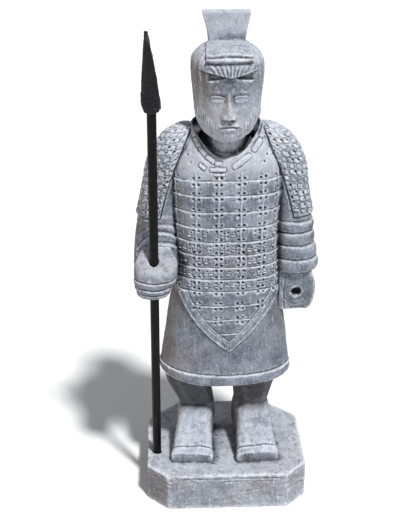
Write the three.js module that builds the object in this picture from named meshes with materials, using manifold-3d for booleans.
// A stone garden warrior, carved in one piece with its plinth, holding a separate iron spear.
// Millimetres, +Z up. The figure faces -Y and its right hand is on the -X side.
// The origin is on the plinth's underside, straight below the middle of the figure.
import * as THREE from "three";
import { mergeVertices } from "three/addons/utils/BufferGeometryUtils.js";
import Module from "manifold-3d";

const wasm = await Module();
wasm.setup();

// ---- Driving dimensions ----
const PLINTH = {
  width: 333,
  front: 140,
  back: 153,
  height: 80,
  frontCorner: 43,
  backCorner: 70,
  bevel: 6,
};
const HEM = 245; // height of the tunic's lower edge
const HEM_BAND = 28; // height of the band round the hem
const BELT = 467; // lower edge of the cuirass
// Edges between the rows of armour plates, from the chest down to the belt.
const PLATE_EDGES = [696, 667, 634, 602, 572, 544, 518, 492, BELT];
const APRON = {
  left: -98,
  right: 110,
  tipX: 5,
  tip: 328,
  bend: 58, // height of the sides' control points above the tip
  leftBend: 22, // how far in from its end each side's control point lies
  rightBend: 35,
  proud: 4.5,
  border: 15,
  step: 1.5, // from the border down to the field inside it
};
const PLATE_LIP = 5;
const PLATE_ROOT = 2.5;
const SHAFT_RADIUS = 9;
const SHAFT_BORE = 10.2;
const SHAFT_FOOT = new THREE.Vector3(-146, -46, PLINTH.height);
const SHAFT_NECK = new THREE.Vector3(-141, -87, 829); // a point on the leaning spear's axis
const SHAFT_LENGTH = 772; // above the plinth
const SOCKET_DEPTH = 40;
const FIST_BORE_START = 340; // along the spear from the plinth
const GRIP = 420; // the fist's middle, along the spear
const TOUCH_GAP = 0.3; // between pieces that rest on each other
const BLADE = {
  base: 761, // along the spear from the plinth
  shoulder: 10,
  length: 145,
  halfWidth: 27,
  halfThickness: 7,
  turn: -49,
  lean: 2.6,
};
const HAND = { inner: 104, outer: 180, bottom: 407, front: -32, back: 8, round: 4 };
const HAND_HOLE = { x: 141, z: 447, radius: 10.2 };
const CUFF = 490;
const SLEEVE_EDGES = [601, 577, 550, 521, CUFF];
const PAULDRON_EDGE = 612;
const PAULDRON_PROUD = 4;
const FIST_EDGES = [528, 502, 487, 475, 463];
const FINGER_GROOVE = 4;
const SUNK = 4; // how far a leg or a shoe runs into the plinth
const SHOE_TOE = -92;
const SHOE_LENGTH = 160;
const CHIN = 776;
const CROWN = 942;
const HEAD_Y = -12; // the head's middle, front to back
const HAIRLINE = 899; // over the middle of the brow
const HAIR_PROUD = 4.5;
const HEAD_TIGHTEN = 0.45; // crowds the columns of the head towards the face
const BEARD_PROUD = 5;
const CAP_TAB = { half: 39, low: 922, high: 960, front: -100, back: 8, proud: 7, raised: 3 };
const FAN = { base: 930, top: 1000, middleY: 6, halfThickness: 9, lean: 0.25 };
const SCARF = { foot: 716, edge: 763, dip: 25, wide: 52, front: 49, back: 45 };

// ---- Helpers ----

// A closed geometry as a manifold-3d solid.
function solid(geometry) {
  const bare = geometry.clone();
  bare.deleteAttribute("normal");
  bare.deleteAttribute("uv");
  const merged = mergeVertices(bare, 1e-3);
  return new wasm.Manifold(
    new wasm.Mesh({
      numProp: 3,
      vertProperties: merged.attributes.position.array,
      triVerts: new Uint32Array(merged.index.array),
    }),
  );
}

// A solid as a named three.js mesh.
function meshOf(name, made, material) {
  const { vertProperties, triVerts } = made.getMesh();
  const geometry = new THREE.BufferGeometry();
  geometry.setAttribute("position", new THREE.BufferAttribute(vertProperties, 3));
  geometry.setIndex(new THREE.BufferAttribute(triVerts, 1));
  geometry.computeVertexNormals();
  const mesh = new THREE.Mesh(geometry, material);
  mesh.name = name;
  return mesh;
}

// Moves every vertex of a geometry through a function.
function warp(geometry, move) {
  const at = geometry.attributes.position;
  const point = new THREE.Vector3();
  for (let i = 0; i < at.count; i++) {
    point.fromBufferAttribute(at, i);
    move(point);
    at.setXYZ(i, point.x, point.y, point.z);
  }
  return geometry;
}

// A closed stack of rings. place(turn, height) gives the ring's point at a turn from the front
// towards +X. A tighten above 0 crowds the columns towards the front.
function rings(heights, around, place, tighten = 0) {
  const rows = heights.length - 1;
  const tube = new THREE.CylinderGeometry(1, 1, 1, around, rows);
  warp(tube, (p) => {
    const height = heights[Math.round((p.y + 0.5) * rows)];
    const onRim = Math.hypot(p.x, p.z) > 0.5;
    const column = Math.round((Math.atan2(p.x, p.z) / (2 * Math.PI)) * around);
    const even = (column / around) * 2 * Math.PI;
    if (onRim) p.copy(place(even - tighten * Math.sin(even), height));
    else {
      const front = place(0, height);
      p.copy(front.lerp(place(Math.PI, height), 0.5));
    }
  });
  return solid(tube);
}

// A smooth function through knots [at, value], in rising order of at.
function through(knots) {
  const slope = (i) => {
    const [a, b] = [knots[Math.max(i - 1, 0)], knots[Math.min(i + 1, knots.length - 1)]];
    return (b[1] - a[1]) / (b[0] - a[0]);
  };
  return (at) => {
    const clamped = THREE.MathUtils.clamp(at, knots[0][0], knots.at(-1)[0]);
    const i = Math.min(
      Math.max(knots.findIndex((k) => k[0] >= clamped) - 1, 0),
      knots.length - 2,
    );
    const [from, to] = [knots[i], knots[i + 1]];
    const span = to[0] - from[0];
    const t = (clamped - from[0]) / span;
    const rise = to[1] - from[1];
    const [s0, s1] = [slope(i) * span, slope(i + 1) * span];
    return from[1] + t * s0 + t * t * (3 * rise - 2 * s0 - s1) + t ** 3 * (s0 + s1 - 2 * rise);
  };
}

// The sections of a limb or body by height: each key of the stations becomes a smooth function.
function sections(stations) {
  const keys = Object.keys(stations[0]).filter((key) => key !== "z");
  return Object.fromEntries(
    keys.map((key) => [key, through(stations.map((s) => [s.z, s[key]]))]),
  );
}

// A point of a squared ellipse with its own depth before and behind its middle.
function squaredRing(turn, z, wide, front, back, square, x = 0, y = 0) {
  const power = 2 / square;
  const [s, c] = [Math.sin(turn), Math.cos(turn)];
  const depth = c > 0 ? front : back;
  return new THREE.Vector3(
    x + Math.sign(s) * Math.abs(s) ** power * wide,
    y - Math.sign(c) * Math.abs(c) ** power * depth,
    z,
  );
}

// A prism along Y, from one y to another, of an outline drawn in x and z.
function prismAlongY(outline, from, to) {
  const prism = new THREE.ExtrudeGeometry(outline, {
    depth: to - from,
    bevelEnabled: false,
    curveSegments: 8,
  });
  prism.rotateX(Math.PI / 2);
  prism.translate(0, to, 0);
  return solid(prism);
}

function outlineOf(points) {
  return new THREE.Shape(points.map(([x, z]) => new THREE.Vector2(x, z)));
}

// A round bar between two points.
function bar(radius, sides, from, to) {
  const axis = to.clone().sub(from);
  const geometry = new THREE.CylinderGeometry(radius, radius, axis.length(), sides);
  const turn = new THREE.Quaternion().setFromUnitVectors(ACROSS, axis.clone().normalize());
  geometry.applyQuaternion(turn);
  geometry.translate(...from.clone().add(to).multiplyScalar(0.5).toArray());
  return solid(geometry);
}

const bump = (at, centre, spread) => Math.exp(-(((at - centre) / spread) ** 2));
const ease = (at, from, to) => THREE.MathUtils.smoothstep(at, from, to);
const UP = new THREE.Vector3(0, 0, 1);
const ACROSS = new THREE.Vector3(0, 1, 0);

// ---- Plinth ----

// The plinth's eight corners, counted from the front one on the +X side towards +X.
function plinthCorner(index, inset) {
  const { frontCorner, backCorner } = PLINTH;
  const [x, front, back] = [PLINTH.width / 2, PLINTH.front, PLINTH.back].map((v) => v - inset);
  const corners = [
    [x - frontCorner, -front],
    [x, -front + frontCorner],
    [x, back - backCorner],
    [x - backCorner, back],
    [-x + backCorner, back],
    [-x, back - backCorner],
    [-x, -front + frontCorner],
    [-x + frontCorner, -front],
  ];
  return corners[index % corners.length];
}

function plinth() {
  const { height, bevel } = PLINTH;
  const corners = 8;
  return rings([0, height - bevel, height - bevel / 3, height], corners, (turn, z) => {
    const index = Math.round((turn / (2 * Math.PI)) * corners) + corners;
    const worn = Math.max(0, z - (height - bevel)) / bevel;
    const [x, y] = plinthCorner(index, bevel * worn ** 2);
    return new THREE.Vector3(x, y, z);
  });
}

// ---- Tunic, cuirass and shoulders ----
const TRUNK = sections([
  { z: HEM, wide: 131, front: 58, back: 68, square: 2.2 },
  { z: HEM + 12, wide: 134, front: 61, back: 72, square: 2.2 },
  { z: 342, wide: 126, front: 62, back: 71, square: 2.3 },
  { z: 410, wide: 116, front: 63, back: 69, square: 2.4 },
  { z: BELT, wide: 107, front: 64, back: 66, square: 2.6 },
  { z: 560, wide: 100, front: 65, back: 64, square: 2.8 },
  { z: 640, wide: 102, front: 65, back: 67, square: 3.0 },
  { z: 690, wide: 105, front: 64, back: 70, square: 3.0 },
  { z: 725, wide: 103, front: 57, back: 68, square: 2.7 },
  { z: 750, wide: 94, front: 46, back: 62, square: 2.4 },
  { z: 775, wide: 80, front: 35, back: 54, square: 2.2 },
  { z: 798, wide: 62, front: 26, back: 44, square: 2.0 },
]);
const SHOULDER_TOP = 798;
const TRUNK_SIDES = 28; // even, so that a column runs down the front and the back
const HEM_PROUD = 2.5;
const LEG_SUNK = 24; // how far the legs reach up into the tunic
const HEM_RISE = { left: 17, right: 9, gone: 342 }; // how far the hem climbs at each side

// How far the armour stands off the body: each plate row leans out to its upper edge.
function plateProud(z) {
  if (z < BELT) return 0;
  if (z >= PLATE_EDGES[0]) return PLATE_ROOT;
  const upper = PLATE_EDGES.filter((edge) => edge > z).at(-1);
  const lower = PLATE_EDGES.find((edge) => edge <= z);
  return THREE.MathUtils.lerp(PLATE_ROOT, PLATE_LIP, (z - lower) / (upper - lower));
}

function trunkPoint(turn, z, proud) {
  return squaredRing(
    turn,
    z,
    TRUNK.wide(z) + proud,
    TRUNK.front(z) + proud,
    TRUNK.back(z) + proud,
    TRUNK.square(z),
  );
}

// The hem's climb at a place given by its share of the way out from the middle.
function hemRise(out, z) {
  const climb = out < 0 ? HEM_RISE.left : HEM_RISE.right;
  return climb * Math.abs(out) ** 3 * (1 - ease(z, HEM, HEM_RISE.gone));
}

function trunk() {
  const step = 0.8;
  const groove = HEM + HEM_BAND;
  const heights = [HEM, HEM + 4, groove - step, groove, 310, 342, 376, 410, 435, BELT - step];
  for (const edge of [...PLATE_EDGES].reverse()) {
    if (edge > BELT) heights.push(edge - step);
    heights.push(edge);
  }
  heights.push(725, 742, 758, 775, 788, SHOULDER_TOP);
  const hemProud = (z) => (z > HEM + 2 && z < groove ? HEM_PROUD : 0);
  return rings(heights, TRUNK_SIDES, (turn, z) => {
    const point = trunkPoint(turn, z, plateProud(z) + hemProud(z));
    point.z += hemRise(point.x / TRUNK.wide(z), z);
    return point;
  });
}

// The pointed apron that hangs from the cuirass in front, its border a little prouder.
function apronOutline(inset) {
  const [left, right] = [APRON.left + inset, APRON.right - inset];
  const bend = APRON.tip + APRON.bend + inset;
  const shape = new THREE.Shape();
  shape.moveTo(left, BELT + 2);
  shape.quadraticCurveTo(left + APRON.leftBend, bend, APRON.tipX, APRON.tip + inset * 1.8);
  shape.quadraticCurveTo(right - APRON.rightBend, bend, right, BELT + 2);
  return shape;
}

function apronLayer(proud, inset) {
  const heights = [APRON.tip - 20, 342, 376, 410, 435, BELT + 2];
  const layer = rings(heights, TRUNK_SIDES, (turn, z) => trunkPoint(turn, z, proud));
  return layer.intersect(prismAlongY(apronOutline(inset), -110, -15));
}

// The hollow in the top of the trunk that the neck and the scarf stand in.
function collarHollow() {
  const bowl = sections([
    { z: 724, wide: 30, front: 34, back: 24 },
    { z: 740, wide: 42, front: 46, back: 32 },
    { z: 760, wide: 52, front: 52, back: 40 },
    { z: 800, wide: 66, front: 56, back: 50 },
    { z: 830, wide: 72, front: 60, back: 54 },
  ]);
  return rings([724, 732, 740, 750, 760, 780, 800, 830], 20, (turn, z) =>
    squaredRing(turn, z, bowl.wide(z), bowl.front(z), bowl.back(z), 2, -2, -10),
  );
}

// A scarf wound round the neck, low in front and high behind, with a rolled upper edge.
function scarf() {
  const { foot, wide, front, back } = SCARF;
  const rows = [
    { drop: 1, size: 0.72 },
    { drop: 12, size: 1 },
    { drop: 4, size: 0.97 },
    { drop: 0, size: 0.86 },
  ];
  return rings([0, 1, 2, 3], 20, (turn, row) => {
    const { drop, size } = rows[row];
    const edge = SCARF.edge - SCARF.dip * Math.cos(turn);
    const z = row ? edge - drop : foot;
    return squaredRing(turn, z, wide * size, front * size, back * size, 2, -1, -8);
  });
}

function neck() {
  return rings([715, 760, 820], 18, (turn, z) => squaredRing(turn, z, 41, 38, 40, 2, 0, -4));
}

// ---- Arms ----
const ARM = sections([
  { z: CUFF, x: 139, wide: 41, front: 40, back: 42 },
  { z: 506, x: 140, wide: 43, front: 42, back: 44 },
  { z: 558, x: 136, wide: 38, front: 39, back: 43 },
  { z: 610, x: 131, wide: 37, front: 37, back: 43 },
  { z: 661, x: 124, wide: 35, front: 37, back: 44 },
  { z: 713, x: 117, wide: 34, front: 38, back: 45 },
  { z: 742, x: 105, wide: 35, front: 36, back: 43 },
  { z: 762, x: 92, wide: 34, front: 30, back: 38 },
  { z: 776, x: 80, wide: 31, front: 24, back: 31 },
  { z: 788, x: 64, wide: 26, front: 16, back: 22 },
]);
const ARM_SIDES = 18;
const SLEEVE_ROLL = 3.5; // how far each roll of a sleeve bulges
const SHOULDER_HEIGHTS = [638, 676, 713, 732, 750, 764, 776, 788];

// The sleeve is gathered in rolls that bulge between their edges.
function sleeveProud(z) {
  if (z >= SLEEVE_EDGES[0]) return 0;
  const upper = SLEEVE_EDGES.filter((edge) => edge > z).at(-1) ?? SLEEVE_EDGES[0];
  const lower = SLEEVE_EDGES.find((edge) => edge <= z) ?? CUFF;
  return SLEEVE_ROLL * Math.sin((Math.PI * (z - lower)) / (upper - lower));
}

function armRing(side, turn, z, proud, shape = ARM, forward = 0) {
  const [wide, front, back] = [shape.wide(z), shape.front(z), shape.back(z)];
  const x = side * shape.x(z);
  return squaredRing(turn, z, wide + proud, front + proud, back + proud, 2.3, x, -forward);
}

function leftArm() {
  const heights = [CUFF, CUFF + 4];
  for (const edge of [...SLEEVE_EDGES].reverse()) {
    const upper = SLEEVE_EDGES.filter((e) => e > edge).at(-1);
    if (edge > CUFF) heights.push(edge);
    if (upper) heights.push((edge + upper) / 2);
  }
  heights.push(...SHOULDER_HEIGHTS);
  return rings(heights, ARM_SIDES, (turn, z) => armRing(1, turn, z, sleeveProud(z)));
}

// The right sleeve widens and comes forward to the fist, and is creased instead of rolled.
const RIGHT_ARM = sections([
  { z: 500, x: 140, wide: 43, front: 38, back: 38 },
  { z: 528, x: 138, wide: 45, front: 42, back: 40 },
  { z: 572, x: 136, wide: 43, front: 41, back: 42 },
  { z: 610, x: 134, wide: 39, front: 38, back: 43 },
  { z: 661, x: 128, wide: 34, front: 37, back: 44 },
  { z: 713, x: 118, wide: 34, front: 38, back: 45 },
  { z: 742, x: 105, wide: 35, front: 36, back: 43 },
  { z: 762, x: 92, wide: 34, front: 30, back: 38 },
  { z: 776, x: 80, wide: 31, front: 24, back: 31 },
  { z: 788, x: 64, wide: 26, front: 16, back: 22 },
]);
const FOREARM_FORWARD = through([
  [500, 34],
  [515, 27],
  [528, 20],
  [550, 10],
  [590, 2],
  [640, 0],
]);

function rightArm() {
  const heights = [500, 514, 528, 541, 555, 572, 590, 612, ...SHOULDER_HEIGHTS];
  return rings(heights, ARM_SIDES, (turn, z) =>
    armRing(-1, turn, z, 0, RIGHT_ARM, FOREARM_FORWARD(z)),
  );
}

// The plated guard over a shoulder, narrowing to a tongue on the outside of the arm.
function pauldron(side) {
  const shape = side > 0 ? ARM : RIGHT_ARM;
  const shell = rings([PAULDRON_EDGE - 8, ...SHOULDER_HEIGHTS], ARM_SIDES, (turn, z) =>
    armRing(side, turn, z, PAULDRON_PROUD, shape),
  );
  const tongue = outlineOf([
    [side * 131, PAULDRON_EDGE],
    [side * 200, PAULDRON_EDGE],
    [side * 200, 820],
    [side * 58, 820],
    [side * 80, 764],
    [side * 103, 712],
    [side * 123, 646],
  ]);
  return shell.intersect(prismAlongY(tongue, -80, 80));
}

// ---- Hands ----

// The closed left hand is a thick slab below the cuff, bored for a weapon that is not there.
function leftHand() {
  const { inner, outer, bottom, front, back, round } = HAND;
  const top = CUFF + 6;
  const shape = new THREE.Shape();
  shape.moveTo(inner, bottom);
  shape.lineTo(outer - 20, bottom);
  shape.quadraticCurveTo(outer - 7, bottom + 10, outer, bottom + 44);
  shape.lineTo(outer - 10, top);
  shape.lineTo(inner, top);
  const slab = new THREE.ExtrudeGeometry(shape, {
    depth: back - front - 2 * round,
    bevelThickness: round,
    bevelSize: 3,
    bevelOffset: -3,
    bevelSegments: 2,
    curveSegments: 6,
  });
  slab.rotateX(Math.PI / 2);
  slab.translate(0, back - round, 0);
  const { x, z, radius } = HAND_HOLE;
  const hole = bar(radius, 20, new THREE.Vector3(x, front - 20, z), new THREE.Vector3(x, back + 60, z));
  return { slab: solid(slab), hole };
}

// The right fist: a smooth back of the hand over three fingers wrapped level round the spear.
function rightFist() {
  const [top, ...grooves] = FIST_EDGES;
  const bottom = grooves.at(-1);
  const [wrist, roundTop] = [556, 541];
  const heights = [wrist, roundTop, top, (top + grooves[0]) / 2];
  grooves.slice(1).forEach((lower, i) => {
    const upper = grooves[i];
    heights.push(upper, upper - (upper - lower) * 0.28, lower + (upper - lower) * 0.28);
  });
  heights.push(bottom);
  heights.reverse();
  const middle = alongSpear(GRIP);
  const shape = sections([
    { z: bottom, x: -146, wide: 28, front: 26, y: 0 },
    { z: grooves[1], x: -144, wide: 37, front: 32, y: 0 },
    { z: grooves[0], x: -141, wide: 41, front: 32, y: 0 },
    { z: (top + grooves[0]) / 2, x: -140, wide: 41.5, front: 26, y: 0 },
    { z: top, x: -139, wide: 41, front: 15, y: 3 },
    { z: roundTop, x: -138, wide: 35, front: 9, y: 12 },
    { z: wrist, x: -137, wide: 25, front: 6, y: 24 },
  ]);
  return rings(heights, 18, (turn, z) => {
    const groove = grooves.includes(z) ? FINGER_GROOVE : 0;
    const [wide, front] = [shape.wide(z) - groove, shape.front(z) - groove];
    return squaredRing(turn, z, wide, front, 36, 2.1, shape.x(z), middle.y + shape.y(z));
  });
}

// ---- Legs and shoes ----
function leg(side, x, flare) {
  const shape = sections([
    { z: PLINTH.height - SUNK, wide: 31, front: 26, back: 34 },
    { z: 150, wide: 33, front: 28, back: 36 },
    { z: 200, wide: 40, front: 35, back: 44 },
    { z: HEM + LEG_SUNK, wide: 48, front: 40, back: 48 },
  ]);
  return rings([PLINTH.height - SUNK, 150, 166, 182, 200, 224, HEM + LEG_SUNK], 16, (turn, z) => {
    const [wide, front, back] = [shape.wide(z), shape.front(z), shape.back(z)];
    return squaredRing(turn, z, wide, front, back, 2.5, x + side * flare * ease(z, 150, HEM), 14);
  });
}

// A square-toed shoe: a loft from heel to toe, tall at the instep and blunt in front.
function shoe(x, splay) {
  const length = SHOE_LENGTH;
  const profile = sections([
    { z: 0, wide: 41, high: 23, square: 5 },
    { z: 4, wide: 42.5, high: 27, square: 5 },
    { z: 40, wide: 40, high: 58, square: 3.6 },
    { z: 72, wide: 38, high: 94, square: 3 },
    { z: 124, wide: 40, high: 98, square: 3 },
    { z: 148, wide: 38, high: 92, square: 3 },
    { z: length, wide: 33, high: 76, square: 2.6 },
  ]);
  const runs = [0, 4, 22, 40, 56, 72, 98, 124, 148, length];
  const base = PLINTH.height - SUNK;
  return rings(runs, 18, (turn, run) => {
    const ring = squaredRing(turn, 0, profile.wide(run), 1, 1, profile.square(run));
    const up = (1 - ring.y) / 2;
    const point = new THREE.Vector3(ring.x, SHOE_TOE + run, base + up * (profile.high(run) + SUNK));
    point.applyAxisAngle(UP, THREE.MathUtils.degToRad(splay));
    point.x += x;
    return point;
  });
}

// ---- Head ----
const HEAD = sections([
  { z: CHIN, wide: 30, front: 52, back: 36, square: 2.0 },
  { z: 788, wide: 44, front: 64, back: 50, square: 2.2 },
  { z: 806, wide: 53, front: 70, back: 60, square: 2.3 },
  { z: 830, wide: 57, front: 71, back: 67, square: 2.4 },
  { z: 860, wide: 60, front: 70, back: 72, square: 2.4 },
  { z: 895, wide: 63, front: 72, back: 73, square: 2.4 },
  { z: 918, wide: 62, front: 70, back: 68, square: 2.4 },
  { z: 930, wide: 54, front: 60, back: 58, square: 2.4 },
  { z: 938, wide: 42, front: 45, back: 44, square: 2.4 },
  { z: CROWN, wide: 24, front: 26, back: 26, square: 2.2 },
]);
const FACE_HALF_WIDTH = 50;
const BROW = 868;
const EYE = 858;
const NOSE_BASE = 822;
const MOUTH = 808;
const EYE_OUT = 21;

const hairline = (x) => HAIRLINE + 9 * Math.min(1, (Math.abs(x) / 44) ** 1.3);

// How far the face's features stand out from the plain head, by place across and up.
function featureProud(x, z) {
  const away = Math.abs(x);
  const slope = 1 - ease(z, NOSE_BASE + 4, BROW + 8);
  const nose = 16 * slope * ease(z, NOSE_BASE - 4, NOSE_BASE + 4) * bump(away, 0, 7 + 5 * slope);
  const socket = -6 * bump(away, EYE_OUT, 13) * bump(z, EYE + 1, 9);
  const eyeball = 5 * bump(away, EYE_OUT, 8) * bump(z, EYE - 1, 5);
  const brow = 3 * bump(away, 22, 20) * bump(z, BROW + 4, 5);
  const cheek = 2.5 * bump(away, 31, 13) * bump(z, 836, 14);
  const lips = 4 * bump(away, 0, 15) * (bump(z, MOUTH + 4, 3.5) + bump(z, MOUTH - 5, 4));
  return nose + socket + eyeball + brow + cheek + lips;
}

function beardProud(x, z) {
  const edge = MOUTH - 9 + 34 * ease(Math.abs(x), 16, 50);
  return BEARD_PROUD * (1 - ease(z, edge - 3, edge + 3));
}

function hairProud(x, z) {
  const overBrow = ease(z, hairline(x) - 2, hairline(x) + 2);
  const beside = ease(Math.abs(x), FACE_HALF_WIDTH - 3, FACE_HALF_WIDTH + 2) * ease(z, 815, 830);
  return HAIR_PROUD * Math.max(overBrow, beside);
}

function headPoint(turn, z) {
  const base = squaredRing(
    turn,
    z,
    HEAD.wide(z),
    HEAD.front(z),
    HEAD.back(z),
    HEAD.square(z),
    0,
    HEAD_Y,
  );
  const facing = Math.cos(turn) > 0 ? ease(Math.cos(turn), 0, 0.3) : 0;
  base.y -= facing * (featureProud(base.x, z) + beardProud(base.x, z) + hairProud(base.x, z));
  if (z > 800 && z < 925) base.x += Math.sign(base.x) * 2 * ease(Math.abs(base.x), 40, 60);
  return base;
}

function headHeights() {
  const heights = [CHIN, 782, 790, 798];
  for (let z = 804; z < 878; z += 6.5) heights.push(z);
  return [...heights, 884, 891, 897, 902, 907, 913, 920, 926, 932, 938, CROWN];
}

function head() {
  return rings(headHeights(), 30, headPoint, HEAD_TIGHTEN);
}

// The cap: a tab over the brow with a rolled lip, and a tall fan that stands up behind it.
function capTab() {
  const shell = rings([880, 900, 913, 920, 926, 932, 938, CROWN], 24, (turn, z) => {
    const point = headPoint(turn, z);
    const out = CAP_TAB.proud + 2 * bump(z, CAP_TAB.low, 5);
    point.y -= Math.cos(turn) * out;
    point.z = z + CAP_TAB.raised * ease(z, 900, 940);
    return point;
  });
  const { half, low, high, front, back } = CAP_TAB;
  const outline = outlineOf([
    [-half, low],
    [half, low],
    [half, high],
    [-half, high],
  ]);
  const block = prismAlongY(outline, front, back);
  return shell.intersect(block);
}

function capFan() {
  const { base, top, middleY, halfThickness, lean } = FAN;
  const square = 6;
  const width = through([
    [base, 34],
    [960, 36],
    [top, 46],
  ]);
  return rings([base, 948, 965, 982, top], 16, (turn, z) => {
    const y = middleY + (z - base) * lean;
    return squaredRing(turn, z, width(z), halfThickness, halfThickness, square, 0, y);
  });
}

// ---- Spear ----
const SPEAR_AXIS = SHAFT_NECK.clone().sub(SHAFT_FOOT).normalize();

// A point on the spear's axis, by its distance above the plinth.
const alongSpear = (distance) => SPEAR_AXIS.clone().multiplyScalar(distance).add(SHAFT_FOOT);

function spearShaft() {
  return bar(SHAFT_RADIUS, 24, alongSpear(TOUCH_GAP - SOCKET_DEPTH), alongSpear(SHAFT_LENGTH));
}

function spearHead() {
  const { base, shoulder, length, halfWidth, halfThickness, turn, lean } = BLADE;
  const profile = sections([
    { z: 0, wide: 14, thick: 13.5, square: 2 },
    { z: 5, wide: 19, thick: 13.5, square: 1.8 },
    { z: shoulder, wide: halfWidth, thick: 13, square: 1.5 },
    { z: 50, wide: 24, thick: halfThickness, square: 1.3 },
    { z: length, wide: 5, thick: 3.5, square: 1.4 },
  ]);
  const runs = [0, 5, shoulder, 22, 34, 50, 80, 115, length - 3, length];
  const foot = alongSpear(base);
  const blade = rings(runs, 16, (angle, run) => {
    const [wide, thick] = [profile.wide(run), profile.thick(run)];
    const point = squaredRing(angle, run, wide, thick, thick, profile.square(run));
    point.applyAxisAngle(UP, THREE.MathUtils.degToRad(turn));
    point.applyAxisAngle(ACROSS, THREE.MathUtils.degToRad(-lean));
    return point.add(foot);
  });
  const end = alongSpear(SHAFT_LENGTH + TOUCH_GAP);
  return blade.subtract(bar(SHAFT_RADIUS + TOUCH_GAP, 24, alongSpear(base - 50), end));
}

// ---- The statue, joined as one block of stone ----
function statue() {
  const borders = apronLayer(APRON.proud, 0);
  const beyond = 30; // well outside the stone, so that all of the border's face is cut
  const field = apronLayer(APRON.proud - APRON.step, 0);
  const inside = apronLayer(beyond, APRON.border).subtract(field);
  const hand = leftHand();
  const fistBore = bar(SHAFT_BORE, 24, alongSpear(FIST_BORE_START), alongSpear(SHAFT_LENGTH));
  const socket = bar(SHAFT_BORE, 24, alongSpear(-SOCKET_DEPTH), alongSpear(30));
  return [
    borders,
    neck(),
    scarf(),
    leftArm(),
    rightArm(),
    pauldron(1),
    pauldron(-1),
    hand.slab,
    rightFist(),
    leg(-1, -56, 22),
    leg(1, 55, 6),
    shoe(-63, -6),
    shoe(60, 3),
    head(),
    capTab(),
    capFan(),
  ]
    .reduce((whole, piece) => whole.add(piece), plinth().add(trunk().subtract(collarHollow())))
    .subtract(inside)
    .subtract(hand.hole)
    .subtract(fistBore)
    .subtract(socket);
}

const STONE = new THREE.MeshStandardMaterial({ color: 0x80868c, roughness: 0.9, metalness: 0 });
const BLACK_IRON = new THREE.MeshStandardMaterial({
  color: 0x1c1a1a,
  roughness: 0.5,
  metalness: 0.6,
});
const CAST_IRON = new THREE.MeshStandardMaterial({
  color: 0x3a3a3d,
  roughness: 0.75,
  metalness: 0.5,
});

const warrior = new THREE.Group();
warrior.add(
  meshOf("statue", statue(), STONE),
  meshOf("spear_shaft", spearShaft(), BLACK_IRON),
  meshOf("spear_head", spearHead(), CAST_IRON),
);

export default warrior;
